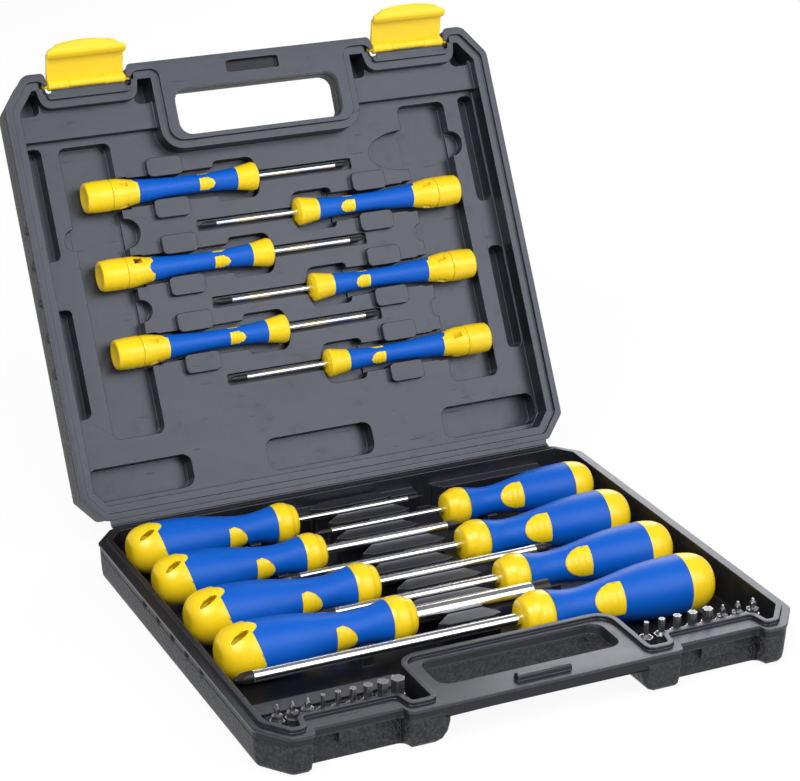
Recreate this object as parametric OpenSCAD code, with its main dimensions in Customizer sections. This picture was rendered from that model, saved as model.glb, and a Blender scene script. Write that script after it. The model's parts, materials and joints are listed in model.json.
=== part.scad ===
// Blow-moulded screwdriver case: a base and a lid joined by a living hinge, two snap latches,
// eight long screwdrivers and two rows of bits in the base, six precision screwdrivers in the lid.
// Millimetres. The origin is the middle of the underside, +Z is up, +Y runs from the handle to the hinge.
// Both halves are drawn closed, and lid_pose() swings the lid about the hinge line.

/* [Case] */
// Width of the case along its hinge
case_w = 285; // [284:1:288]
// Depth of the case from the handle edge to the hinge edge
case_d = 241; // [240.5:0.5:242]
// Height of the base half, from the underside to the parting plane
base_h = 21; // [21:0.5:22]
// Height of the lid half above the parting plane
lid_h = 26.5; // [26.5:0.5:28]
// Thickness of the moulded outer wall
wall = 1.4; // [1.2:0.1:1.6]
// Thickness of the moulded inner wall
skin = 1.1; // [0.9:0.1:1.2]
// Angle that the lid stands open, from closed
lid_open = 118.35; // [0:0.05:178]

/* [Handle and latches] */
// Half width of the grip hole
grip_half_w = 48.5; // [47:0.5:49]
// Depth of the handle bar, from the front edge to the grip hole
bar_depth = 17; // [16:0.5:18]
// Distance from the front edge to the back wall of the grip hole
grip_back = 42.5; // [42:0.5:43]
// Thickness of the handle bar in the base half
base_bar = 7; // [6:0.5:8]
// Thickness of the handle bar in the lid half
lid_bar = 14; // [13:0.5:15]
// Distance of each latch from the middle
latch_x = 95.25; // [94.5:0.25:96]
// Width of a latch
latch_w = 43; // [42:0.5:44]
// Angle of the open latches, forward of the plane of the lid
latch_lean = 35; // [0:1:45]

/* [Long screwdrivers] */
// Height of the long drivers' axes above the underside
tool_z = 18.5; // [18.5:0.1:18.8]
// Height that the handles' waists lie clear of their saddles
saddle_gap = 0.35; // [0.3:0.05:0.6]

/* [Precision screwdrivers] */
// Depth of the precision drivers' axes below the rim of the lid
mini_n = 12.7; // [12.5:0.1:12.9]
// Pitch between neighbouring precision drivers on one side
mini_pitch = 43.1; // [42.9:0.1:43.2]

/* [Hidden] */
$fn = 40;

hw = case_w / 2;
front = -case_d / 2;
back = case_d / 2;
eps = 0.01;
shell_black = "#2b2b30";
tray_black = "#3c3d44";
yellow = "#ffdc28";
blue = "#0a52c8";
steel = "#c9cdd2";
dark_steel = "#3a3b3d";

// ---- outlines -------------------------------------------------------------------------------
// A corner is [x, y, radius]. Outlines run anticlockwise; inset() moves every edge inwards and keeps
// the number of points, so two insets of one outline can be lofted into a drafted wall.

function unit(v) = v / norm(v);
function left_of(v) = [-v[1], v[0]];
function xy(p) = [p[0], p[1]];

function moved_corner(a, b, c, d) =
    let (e1 = unit(b - a), e2 = unit(c - b), n1 = left_of(e1), n2 = left_of(e2),
         turn = e1[0] * e2[1] - e1[1] * e2[0])
    [each b + d * (n1 + n2) / (1 + n1 * n2), turn];

function inset(corners, d) = [
    for (i = [0:len(corners) - 1])
        let (n = len(corners), m = moved_corner(xy(corners[(i + n - 1) % n]), xy(corners[i]),
             xy(corners[(i + 1) % n]), d), r = corners[i][2])
        [m[0], m[1], m[2] > 0 ? max(r - d, 0.4) : r + d]
];

function corner_arc(a, b, c, r, steps) =
    let (u1 = unit(a - b), u2 = unit(c - b), half = acos(u1 * u2) / 2,
         centre = b + unit(u1 + u2) * r / sin(half),
         p1 = b + u1 * r / tan(half) - centre, p2 = b + u2 * r / tan(half) - centre,
         a1 = atan2(p1[1], p1[0]), sweep = (atan2(p2[1], p2[0]) - a1 + 540) % 360 - 180)
    [for (k = [0:steps]) centre + r * [cos(a1 + sweep * k / steps), sin(a1 + sweep * k / steps)]];

function rounded(corners, steps = 5) = [
    for (i = [0:len(corners) - 1])
        let (n = len(corners))
        each corner_arc(xy(corners[(i + n - 1) % n]), xy(corners[i]), xy(corners[(i + 1) % n]),
            corners[i][2], steps)
];

function mirrored(half) = concat(half, [for (i = [len(half) - 1:-1:0]) [-half[i][0], half[i][1], half[i][2]]]);

// A box with rounded corners as an outline, from two opposite corners.
function box_outline(x0, y0, x1, y1, r) = [[x0, y0, r], [x1, y0, r], [x1, y1, r], [x0, y1, r]];

// A solid through a stack of [height, outline] levels with the same number of points.
module loft(levels) {
    n = len(levels[0][1]);
    m = len(levels);
    polyhedron(
        points = [for (level = levels) for (p = level[1]) [p[0], p[1], level[0]]],
        faces = concat(
            [[for (i = [0:n - 1]) i]],
            [[for (i = [n - 1:-1:0]) (m - 1) * n + i]],
            [for (k = [0:m - 2]) for (i = [0:n - 1])
                [k * n + i, (k + 1) * n + i, (k + 1) * n + (i + 1) % n, k * n + (i + 1) % n]]));
}

module prism(z0, z1, corners, steps = 5)
    translate([0, 0, z0]) linear_extrude(z1 - z0) polygon(rounded(corners, steps));

// ---- plan of the case ------------------------------------------------------------------------
recess_out = latch_x + 23.25;
recess_in = latch_x - 23.25;
recess_slope = 1.5;
corner_x = 12.5;
corner_y = 16.5;
hinge_corner_x = 11;
hinge_corner_y = 13;

// The part of the plan from the latch recess round to the hinge, common to both halves.
function side_plan(setback) = [
    [recess_in, front, 2.6],
    [recess_in + recess_slope, front + setback, 1.2],
    [recess_out - recess_slope, front + setback, 1.2],
    [recess_out, front, 2.6],
    [hw - corner_x, front, 7],
    [hw, front + corner_y, 7],
    [hw, back - hinge_corner_y, 3],
    [hw - hinge_corner_x, back, 3],
];
function rim_plan(setback) = mirrored(side_plan(setback));
// `flare` widens the notch round the grip hole.
function body_plan(setback, flare = 0) = mirrored(concat(
    [[grip_half_w + flare, front + grip_back, 6], [grip_half_w + 1 + flare, front, 3]], side_plan(setback)));
grip_hole = box_outline(-grip_half_w, front + bar_depth, grip_half_w, front + grip_back, 7);

base_setback = 5.7;
lid_setback = 9.8;

// The raised bead that follows the inside of the rim, jogging behind the latches and the grip hole.
bead_w = 3;
bead_h = 1.8;
bead_gap = 0.4;
rim_w = 4;
bead_plan = mirrored([
    [grip_half_w + 6.5, front + grip_back + 3, 8],
    [grip_half_w + 6.5, front + rim_w + 0.6, 4.5],
    [recess_in - 2, front + rim_w + 0.6, 4.5],
    [recess_in, front + 15.2, 2.4],
    [recess_out, front + 15.2, 2.4],
    [recess_out + 2, front + rim_w + 0.6, 3.2],
    [hw - corner_x - 2, front + rim_w + 0.6, 4],
    [hw - rim_w, front + corner_y + 1.6, 6],
    [hw - rim_w, back - hinge_corner_y - 1.6, 3],
    [hw - hinge_corner_x - 1.6, back - rim_w, 3],
]);
inner_plan = inset(bead_plan, bead_w);

// ---- hinge -----------------------------------------------------------------------------------
pivot_y = back + 3;
leaf_t = 0.8;
crease_r = 0.55;
seam = 0.3;

module lid_pose()
    translate([0, pivot_y, base_h]) rotate([-lid_open, 0, 0]) translate([0, -pivot_y, -base_h]) children();

leaf_half = hw - hinge_corner_x - 2;

module base_hinge_leaf() color(shell_black) {
    translate([-leaf_half, back, base_h - leaf_t]) cube([2 * leaf_half, pivot_y - back, leaf_t]);
    translate([-leaf_half, pivot_y, base_h]) rotate([0, 90, 0]) cylinder(r = crease_r, h = 2 * leaf_half);
}

module lid_hinge_leaf() color(shell_black) lid_pose() difference() {
    translate([-leaf_half, back, base_h + seam]) cube([2 * leaf_half, pivot_y - back, leaf_t]);
    translate([-leaf_half - 1, pivot_y, base_h]) rotate([0, 90, 0])
        cylinder(r = crease_r + 0.2, h = 2 * leaf_half + 2);
}

// ---- outer walls ------------------------------------------------------------------------------
// Scoops down both sides of each half, deepest at the outer face and run out towards the rim.
flute_r = 3.8;
flute_pitch = 19.5;
flute_run = 13;
flute_lean = 16;
module flutes(rim_z, lean, grow) for (side = [-1, 1]) for (i = [-2:2])
    translate([side * (hw - rim_lip + flute_r), i * flute_pitch, rim_z])
        rotate([0, side * lean, 0]) cylinder(r = flute_r + grow, h = 60, center = true);

rim_lip = 0.7;
rim_t = 1.6;
floor_t = 1.4;

// [height above the outer face, inset of the wall, flare of the notch]
wall_profile = [[0, 4.6, 7.5], [0.9, 3, 5], [2.6, 1.8, 3], [6, 1.3, 1], [11, 1, 0]];

module base_walls(grow) {
    loft(concat(
        [for (p = wall_profile) [
            max(p[0], grow < 0 ? 0 : floor_t + p[0] * 0.8),
            rounded(inset(body_plan(base_setback, p[2]), p[1] + grow))]],
        [[base_h - rim_t + (grow > 0 ? 1 : 0), rounded(inset(body_plan(base_setback), rim_lip + max(grow, 0)))]]));
}

catch_w = 18.5;
catch_bottom = 9.2;
band_bottom = 15.2;
recess_step = 3.2;

// Each outer shell is a blow moulding: one skin of drafted walls with soft corners.
module base_shell() color(shell_black) resize([0, 0, 0]) difference() {
    union() {
        difference() {
            base_walls(-eps);
            difference() {
                base_walls(wall);
                // the front wall behind each latch is thick enough to take the catch
                for (side = [-1, 1]) translate([side * latch_x - 25.5, front, 0])
                    cube([51, base_setback + rim_lip + recess_step + wall, base_h]);
                flutes(flute_run, -flute_lean, wall);
            }
        }
        bar_underside(base_h - base_bar, base_h - rim_t - bar_gap, base_setback);
    }
    for (side = [-1, 1]) catch_recess(side);
    flutes(flute_run, -flute_lean, 0);
    prism(tray_floor - skin - eps, base_h + 1, inset(bead_plan, bead_w - skin - eps));
}

// The wall is set back under the rim band, all but the block that the latch hooks under.
module catch_recess(side) translate([side * latch_x, front + base_setback + rim_lip, 0]) difference() {
    translate([-23, -1, -1]) cube([46, 1 + recess_step, band_bottom + 1]);
    translate([-catch_w / 2, -2, catch_bottom]) cube([catch_w, 3 + recess_step, base_h]);
}

// The handle bar: its underside, front and the walls of the grip hole, a hair under the rim plate.
bar_gap = 0.04;
module bar_underside(z0, z1, setback) translate([0, 0, z0]) linear_extrude(z1 - z0) difference() {
    intersection() {
        polygon(rounded(inset(rim_plan(setback), rim_lip + 0.1)));
        translate([-grip_half_w - 5, front - 1]) square([2 * grip_half_w + 10, grip_back + wall + 1]);
    }
    polygon(rounded(grip_hole));
}

module lid_walls(grow) {
    top = base_h + lid_h;
    loft(concat(
        [[base_h + seam + rim_t - (grow > 0 ? 1 : 0), rounded(inset(body_plan(lid_setback), rim_lip + max(grow, 0)))]],
        [for (i = [len(wall_profile) - 1:-1:0]) let (p = wall_profile[i]) [
            top - max(p[0], grow < 0 ? 0 : wall + p[0] * 0.8),
            rounded(inset(body_plan(lid_setback, p[2]), p[1] + grow))]]));
}

latch_pivot_y = front + 6.6;
latch_pivot_z = base_h + 3.2;
trunnion_r = 1.5;
trunnion_gap = 0.06;

module lid_shell() color(shell_black) lid_pose() resize([0, 0, 0]) difference() {
    union() {
        difference() {
            lid_walls(-eps);
            difference() {
                lid_walls(wall);
                flutes(base_h + lid_h - flute_run, flute_lean, wall);
            }
        }
        bar_underside(base_h + seam + rim_t + bar_gap, base_h + lid_bar, lid_setback);
        // sockets beside each latch recess that take the latch's trunnions
        for (side = [-1, 1]) for (end = [-1, 1]) intersection() {
            translate([side * latch_x + end * 25.7, latch_pivot_y, latch_pivot_z]) rotate([0, 90, 0])
                cylinder(r = 3.4, h = 4.4, center = true);
            lid_walls(-eps);
        }
    }
    trunnion_bores();
    flutes(base_h + lid_h - flute_run, flute_lean, 0);
    tongue_slot();
    recess_notches();
    lid_tray_body(0);
}

module trunnion_bores() for (side = [-1, 1]) translate([side * latch_x, latch_pivot_y, latch_pivot_z]) along_x()
    cylinder(r = trunnion_r + trunnion_gap, h = 53, center = true);

// Clearance at the foot of each trunnion socket.
module recess_notches() for (side = [-1, 1]) for (end = [-1, 1])
    translate([side * latch_x + end * 22.6, front + lid_setback - 0.5, base_h - 1]) cylinder(r = 2.3, h = 5.5);

// ---- inner wall of the base -------------------------------------------------------------------
tray_floor = 2.6;
band_w = bead_w + bead_gap + 0.6;

module base_tray() color(tray_black) {
    difference() {
        union() {
            prism(base_h - rim_t, base_h, rim_plan(base_setback));
            prism(base_h - 0.6, base_h + bead_h, bead_plan);
            prism(tray_floor - skin, base_h - 0.2, inset(bead_plan, bead_w - skin));
        }
        prism(tray_floor, base_h + 5, inner_plan);
        prism(base_h - rim_t - 1, base_h + 1, grip_hole);
    }
    handle_tongue();
    intersection() {
        prism(tray_floor - eps, base_h, inset(bead_plan, bead_w - skin / 2));
        union() {
            label_ribs();
            for (i = [1:8]) handle_saddle(i);
            bit_rails();
            back_ledges();
        }
    }
}

// A tongue on the handle bar, which enters a slot in the lid's bar.
tongue = box_outline(-14.5, front + 5.2, 14.5, front + 10, 0.8);
tongue_h = 2.8;
module handle_tongue() loft([
    [base_h - 1, rounded(tongue)],
    [base_h + tongue_h - 0.6, rounded(inset(tongue, 0.2))],
    [base_h + tongue_h, rounded(inset(tongue, 0.7))]]);
module tongue_slot() prism(base_h - 1, base_h + tongue_h + 0.7, inset(tongue, -0.9));

// [side of the butt, distance of the axis from the front edge, distance of the butt from the middle,
//  handle length, shaft diameter, blade length], from the front to the back
drivers = [
    [1, 65.6, 125.4, 107, 6, 150],
    [-1, 90.3, 130.2, 102, 9, 75],
    [1, 109.3, 127.3, 98, 5, 100],
    [-1, 131.1, 130.2, 101, 5, 100],
    [1, 153, 127.3, 98, 4, 100],
    [-1, 175.8, 130.5, 92, 5, 80],
    [1, 195.7, 129.2, 88.5, 3, 75],
    [-1, 215.7, 130.2, 93, 3, 75],
];
function side_of(i) = drivers[i - 1][0];
function row_y(i) = front + drivers[i - 1][1];
function butt_x(i) = side_of(i) * drivers[i - 1][2];
function handle_len(i) = drivers[i - 1][3];
function shaft_d(i) = drivers[i - 1][4];
function blade_len(i) = drivers[i - 1][5];

rib_top = 18.2;
rib_ledge = 15.6;
rib_x0 = -24;
rib_x1 = 20;
rib_shift = [0, 4, -2, 2, -3, 3, -2, 2, 0];

// A block between two shafts, with chamfered ends and a lower ledge along its front.
module label_rib(y0, y1, x0, x1) {
    mid = y0 + (y1 - y0) * 0.36;
    translate([0, 0, tray_floor - eps]) linear_extrude(rib_top - tray_floor)
        polygon([[x0 + 5, mid], [x1 - 2, mid], [x1 + 3, mid + 1.5], [x1 - 3, y1], [x0 + 9, y1], [x0, mid + 3]]);
    translate([0, 0, tray_floor - eps]) linear_extrude(rib_ledge - tray_floor)
        polygon([[x0, y0], [(x0 + x1) / 2 - 1, y0], [(x0 + x1) / 2 - 1, mid + 1], [x0, mid + 1]]);
    translate([0, 0, tray_floor - eps]) linear_extrude(rib_ledge + 1 - tray_floor)
        polygon([[(x0 + x1) / 2 + 1, y0], [x1 - 1, y0], [x1 + 1, mid + 1], [(x0 + x1) / 2 + 1, mid + 1]]);
}

module label_ribs() for (i = [1:8]) {
    y0 = row_y(i) + shaft_d(i) / 2 + 0.5;
    y1 = i < 8 ? row_y(i + 1) - shaft_d(i + 1) / 2 - 0.5 : back - 9;
    label_rib(y0, y1, rib_x0 + rib_shift[i], rib_x1 + (i == 1 ? -9 : rib_shift[i]));
}

// Handle outline: [distance from the butt, radius], for a handle 100 long.
handle_outline = [
    [0, 6], [1, 8.5], [3.5, 11.2], [7.5, 13.2], [13, 14.1], [22, 14.2], [32, 13.8], [42, 12.6], [52, 10.9],
    [62, 9.3], [69, 8.7], [75, 8.8], [80, 9.5], [85, 10.7], [89, 11.5], [92, 11.5], [96, 10.1], [98.5, 8.6],
    [100, 7.4],
];
waist_at = 72;
waist_r = 8.75;

module place_driver(i) translate([butt_x(i), row_y(i), tool_z]) rotate([0, 0, side_of(i) > 0 ? 180 : 0])
    scale(handle_len(i) / 100) children();

module along_x() rotate([0, 90, 0]) children();

module handle_saddle(i) place_driver(i) {
    drop = (tool_z - tray_floor) * 100 / handle_len(i);
    difference() {
        translate([waist_at - 3, -waist_r - 2, -drop - eps]) cube([6, 2 * waist_r + 4, drop - 5]);
        translate([waist_at - 4, 0, 0]) along_x() cylinder(r = waist_r + 0.15 + saddle_gap, h = 8);
    }
}

// ---- bits --------------------------------------------------------------------------------------
bit_row_y = front + 22.5;
bit_pitch = 7.5;
bit_x0 = -127.8;
bit_len = 24;
bit_floor = tray_floor + 0.2;
hex_af = 6.35;
bit_gap = 0.2;
rail_top = 14;
rail_w = 11;
right_bit_x0 = 64.1;
right_bit_pitch = 8.6;

function left_bit_x(k) = bit_x0 + bit_pitch * k;
function right_bit_x(k) = right_bit_x0 + right_bit_pitch * k;

// A rail drilled for each bit, and behind it the higher step that the sizes would stand on.
module bit_rails() {
    difference() {
        union() {
            translate([left_bit_x(0) - 8, bit_row_y - rail_w / 2, tray_floor - eps])
                cube([8 * bit_pitch + 15, rail_w, rail_top - tray_floor]);
            translate([left_bit_x(0) - 8, bit_row_y + rail_w / 2 + 4.5, tray_floor - eps])
                cube([8 * bit_pitch + 15, 10, rail_top + 3.4 - tray_floor]);
            translate([left_bit_x(0) - 8, bit_row_y + rail_w / 2 + 3.2, tray_floor - eps])
                cube([8 * bit_pitch + 15, 3, rail_top + 1.4 - tray_floor]);
            translate([right_bit_x(0) - 7, bit_row_y - rail_w / 2, tray_floor - eps])
                cube([7 * right_bit_pitch + 15, rail_w, rail_top - tray_floor]);
        }
        for (k = [0:8]) translate([left_bit_x(k), bit_row_y, bit_floor - 0.1]) rotate([0, 0, 30])
            cylinder(r = hex_af / sqrt(3) + bit_gap, h = 20, $fn = 6);
        for (k = [0:7]) translate([right_bit_x(k), bit_row_y, bit_floor - 0.1]) rotate([0, 0, 30])
            cylinder(r = hex_af / sqrt(3) + bit_gap, h = 20, $fn = 6);
    }
}

module back_ledges() {
    translate([-36, back - 14, tray_floor - eps]) cube([76, 12, 15.6 - tray_floor]);
    translate([0, 0, tray_floor - eps]) linear_extrude(15.6 - tray_floor)
        polygon([[56, back - 14], [118, back - 14], [118, back - 2], [51, back - 2], [51, back - 9]]);
}

// A quarter-inch hex shank, then the working end that `tip` draws from z = 0 upwards.
module bit(x, neck_r) {
    shank = 16;
    translate([x, bit_row_y, bit_floor]) {
        rotate([0, 0, 30]) cylinder(r = hex_af / sqrt(3), h = shank, $fn = 6);
        translate([0, 0, shank - eps]) cylinder(r1 = 3, r2 = neck_r, h = 1.2);
        translate([0, 0, shank + 1]) children();
    }
}

// A cross point: a cone cut by four flutes.
module cross_point(r) difference() {
    union() {
        cylinder(r = r, h = 2.4);
        translate([0, 0, 2.4 - eps]) cylinder(r1 = r, r2 = 0.5, h = bit_len - 19.4);
    }
    for (a = [45:90:315]) rotate([0, 0, a]) translate([r * 0.42, 0, 1.6]) rotate([0, 12, 0])
        rotate([0, 0, 45]) cube([r * 1.6, r * 1.6, 12], center = false);
}

module hex_point(af) cylinder(r = af / sqrt(3), h = bit_len - 17, $fn = 6);

module torx_point(r) difference() {
    cylinder(r = r, h = bit_len - 17);
    for (a = [0:60:300]) rotate([0, 0, a]) translate([r * 1.12, 0, -1]) cylinder(r = r * 0.3, h = 12);
}

module pozi_bits() color(dark_steel) for (k = [0:2]) bit(left_bit_x(k), 2.6) cross_point(2.5 + 0.25 * k);
module hex_bits() color(dark_steel) for (k = [0:5])
    bit(left_bit_x(k + 3), min(3, 1.2 + 0.38 * k)) hex_point([2, 2.5, 3, 4, 5, 6][k]);
module torx_bits() color(dark_steel) for (k = [0:4])
    bit(right_bit_x(k), min(3, 1.3 + 0.4 * k)) torx_point([1.2, 1.6, 1.95, 2.25, 2.55][k]);
module cross_bits() color(dark_steel) for (k = [0:2]) bit(right_bit_x(k + 5), 2.6) cross_point(2.5 + 0.25 * k);

// ---- long screwdrivers -------------------------------------------------------------------------
grip_wall = 2.2;
butt_end = 20;
collar_start = 80;
window_at = 52;
window_len = 14;

module revolved(outline) along_x() rotate_extrude()
    polygon(concat([[0, outline[0][0]]], [for (p = outline) [p[1], p[0]]], [[0, outline[len(outline) - 1][0]]]));

module handle_body() revolved(handle_outline);

// Everything between the butt's two ears and the collar.
module grip_zone(roll) rotate([roll, 0, 0]) translate([0, 30, 0]) rotate([90, 0, 0]) linear_extrude(60)
    polygon([[butt_end + 5, 20], [butt_end + 4.5, 11], [butt_end + 2, 9.5], [butt_end - 3, 5], [butt_end - 4.5, 0],
        [butt_end - 3, -5], [butt_end + 2, -9.5], [butt_end + 4.5, -11], [butt_end + 5, -20],
        [collar_start, -20], [collar_start, 20]]);

// Two windows in the grip, one facing each side, rounded towards the collar.
module windows(roll) for (turn = [0, 180]) rotate([roll + turn, 0, 0]) translate([window_at, 0, 0])
    rotate([90, 0, 0]) linear_extrude(16)
        polygon([[1, 9.6], [window_len * 0.6, 9.6], [window_len * 0.9, 5], [window_len, 0],
            [window_len * 0.9, -5], [window_len * 0.6, -9.6], [1, -9.6], [0, 0]]);

core_outline = [for (p = handle_outline) [p[0], p[1] - grip_wall]];
window_outline = [
    [window_at - 1, lookup(window_at - 1, handle_outline) - 0.25],
    for (t = [window_at + 3, window_at + 7, window_at + 11]) for (d = [-0.8, 0, 0.8])
        [t + d, lookup(t + d, handle_outline) - (d == 0 ? 0.75 : 0.25)],
    [window_at + window_len + 1, lookup(window_at + window_len + 1, handle_outline) - 0.25],
];

function ear_roll(i) = side_of(i) > 0 ? 90 : 0;
function window_roll(i) = side_of(i) > 0 ? 24 : -14;

module hanging_hole(roll) rotate([roll, 0, 0]) translate([12, 0, 9.6]) rotate([90, 0, 0])
    translate([0, 0, -20]) linear_extrude(40) {
        translate([-3, -1.4]) square([6, 2.8]);
        for (x = [-3, 3]) translate([x, 0]) circle(r = 1.4);
    }

module driver_core(i) color(yellow) place_driver(i) difference() {
    union() {
        revolved(core_outline);
        difference() {
            intersection() {
                handle_body();
                union() {
                    translate([-1, -20, -20]) cube([collar_start, 40, 40]);
                    along_x() cylinder(r = 12.1, h = 101, $fn = 6);
                }
            }
            grip_zone(ear_roll(i));
        }
        intersection() {
            revolved(window_outline);
            windows(window_roll(i));
        }
    }
    hanging_hole(ear_roll(i));
    translate([78, 0, 0]) along_x() cylinder(d = shaft_d(i) * 100 / handle_len(i), h = 30);
}

module driver_grip(i) color(blue) place_driver(i) difference() {
    intersection() {
        handle_body();
        grip_zone(ear_roll(i));
    }
    revolved(core_outline);
    windows(window_roll(i));
}

// The shaft runs from inside the handle to its tip: a bit holder, a flat blade or a cross point.
module driver_shaft(i) color(steel) {
    s = handle_len(i) / 100;
    start = 78 * s;
    end = handle_len(i) + blade_len(i);
    r = shaft_d(i) / 2;
    place_driver(i) scale(1 / s) difference() {
        union() {
            translate([start, 0, 0]) along_x() cylinder(r = r, h = end - start - (i == 2 ? 0 : 4));
            if (i != 2) translate([end - 4 - eps, 0, 0]) along_x() cylinder(r1 = r, r2 = r * 0.35, h = 4);
        }
        if (i == 2) translate([end - 12, 0, 0]) along_x() cylinder(r = hex_af / sqrt(3) + 0.1, h = 13, $fn = 6);
        if (i == 1 || i == 6) for (m = [0, 1]) mirror([0, 0, m]) translate([end - 9, -r - 1, r])
            rotate([0, 14, 0]) cube([12, 2 * r + 2, r]);
    }
}

// ---- precision screwdrivers --------------------------------------------------------------------
// [side of the cap, row in half pitches from the one nearest the handle]
minis = [[-1, 0], [1, 1], [-1, 2], [1, 3], [-1, 4], [1, 5]];
mini_first = 176.3;
mini_len = 100;
mini_blade = 56;
mini_left_x = -106;
mini_right_x = 112;
mini_shaft_r = [1.5, 1.5, 1.6, 1.6, 1.7, 1.7];
function mini_side(i) = minis[i - 1][0];
function mini_s(i) = mini_first - minis[i - 1][1] * mini_pitch / 2 - (mini_side(i) > 0 ? 1.5 : 0);
function mini_y(i) = pivot_y - mini_s(i);

cap_len = 14.4;
cap_gap = 0.25;
spindle_r = 2.6;
spindle_gap = 0.05;
mini_cap_outline = [[0, 5.5], [0.3, 7.6], [1.1, 8.2], [6, 8.6], [cap_len - 0.7, 8.6], [cap_len, 8.2]];
mini_outline = [
    [cap_len + cap_gap, 8.1], [15.4, 8.5], [19, 8.4], [23, 7.7], [27, 6.9], [33, 6.3], [42, 5.7], [52, 5.2],
    [62, 5], [72, 5.1], [80, 5.6], [86, 6.1], [90, 6.7], [97, 7.9], [98.6, 7.6], [100, 5],
];
mini_grip_start = 28;
mini_collar = 87;
mini_window = 65;
mini_core_outline = [for (p = mini_outline) [p[0], p[1] - 1.3]];

module place_mini(i) lid_pose()
    translate([mini_side(i) < 0 ? mini_left_x : mini_right_x, mini_y(i), base_h + mini_n])
        rotate([mini_roll(i), 0, mini_side(i) > 0 ? 180 : 0]) children();
function mini_roll(i) = [200, 160, 90, 160, 200, 150][i - 1];

module mini_grip_zone() translate([0, 10, 0]) rotate([90, 0, 0]) linear_extrude(20)
    polygon([[mini_grip_start + 1.6, 10], [mini_grip_start + 1.6, 3.4], [mini_grip_start, 2.6],
        [mini_grip_start - 1.2, 0], [mini_grip_start, -2.6], [mini_grip_start + 1.6, -3.4],
        [mini_grip_start + 1.6, -10], [mini_collar, -10], [mini_collar, 10]]);

module mini_windows() for (turn = [0:120:240]) rotate([turn, 0, 0]) translate([mini_window, 0, 2.6])
    linear_extrude(8) polygon([[0, 3.4], [5, 3.6], [7.6, 2.4], [9, 0], [7.6, -2.4], [5, -3.6], [0, -3.4]]);

mini_window_outline = [
    [mini_window - 1, lookup(mini_window - 1, mini_outline) - 0.1],
    for (t = [mini_window + 2, mini_window + 4.2, mini_window + 6.4]) for (d = [-0.6, 0, 0.6])
        [t + d, lookup(t + d, mini_outline) - (d == 0 ? 0.5 : 0.1)],
    [mini_window + 10, lookup(mini_window + 10, mini_outline) - 0.1],
];

module mini_core(i) color(yellow) place_mini(i) difference() {
    union() {
        revolved(mini_core_outline);
        difference() {
            revolved(mini_outline);
            mini_grip_zone();
        }
        intersection() {
            revolved(mini_window_outline);
            mini_windows();
        }
        translate([cap_len - 7, 0, 0]) along_x() cylinder(r = spindle_r, h = 8);
    }
    // the slot that the driver hangs by
    translate([18.5, -10, 3.2]) cube([5, 20, 2.9]);
    translate([85, 0, 0]) along_x() cylinder(r = mini_shaft_r[i - 1], h = 20);
}

module mini_grip(i) color(blue) place_mini(i) difference() {
    intersection() {
        revolved(mini_outline);
        mini_grip_zone();
    }
    revolved(mini_core_outline);
    mini_windows();
}

// The cap spins on the spindle; its end is dished for a fingertip.
module mini_cap(i) color(yellow) place_mini(i) difference() {
    revolved(mini_cap_outline);
    translate([-21.2, 0, 0]) sphere(r = 22.2, $fn = 72);
    translate([cap_len - 7.4, 0, 0]) along_x() cylinder(r = spindle_r + spindle_gap, h = 8);
}

module mini_blade_shape(i) color(steel) place_mini(i) {
    r = mini_shaft_r[i - 1];
    difference() {
        union() {
            translate([85, 0, 0]) along_x() cylinder(r = r, h = mini_len - 85 + mini_blade - 2.5);
            translate([mini_len + mini_blade - 2.5 - eps, 0, 0]) along_x() cylinder(r1 = r, r2 = r * 0.3, h = 2.5);
        }
        if (mini_side(i) < 0) for (m = [0, 1]) mirror([0, 0, m])
            translate([mini_len + mini_blade - 5, -3, r]) rotate([0, 13, 0]) cube([7, 6, 2]);
    }
}

// ---- inner wall of the lid ---------------------------------------------------------------------
shelf_n = 8;
deck_n = 13.3;
deep_n = 22.2;
pocket_n = 23.4;
lid_band_n = 2.4;
shelf_edge = 35.2;

function lid_y(s) = pivot_y - s;
module lid_pocket(n, x0, s0, x1, s1, r, grow)
    prism(base_h + seam + 1, base_h + n + grow,
        box_outline(x0 - grow, lid_y(s1) - grow, x1 + grow, lid_y(s0) + grow, r + grow));

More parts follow.
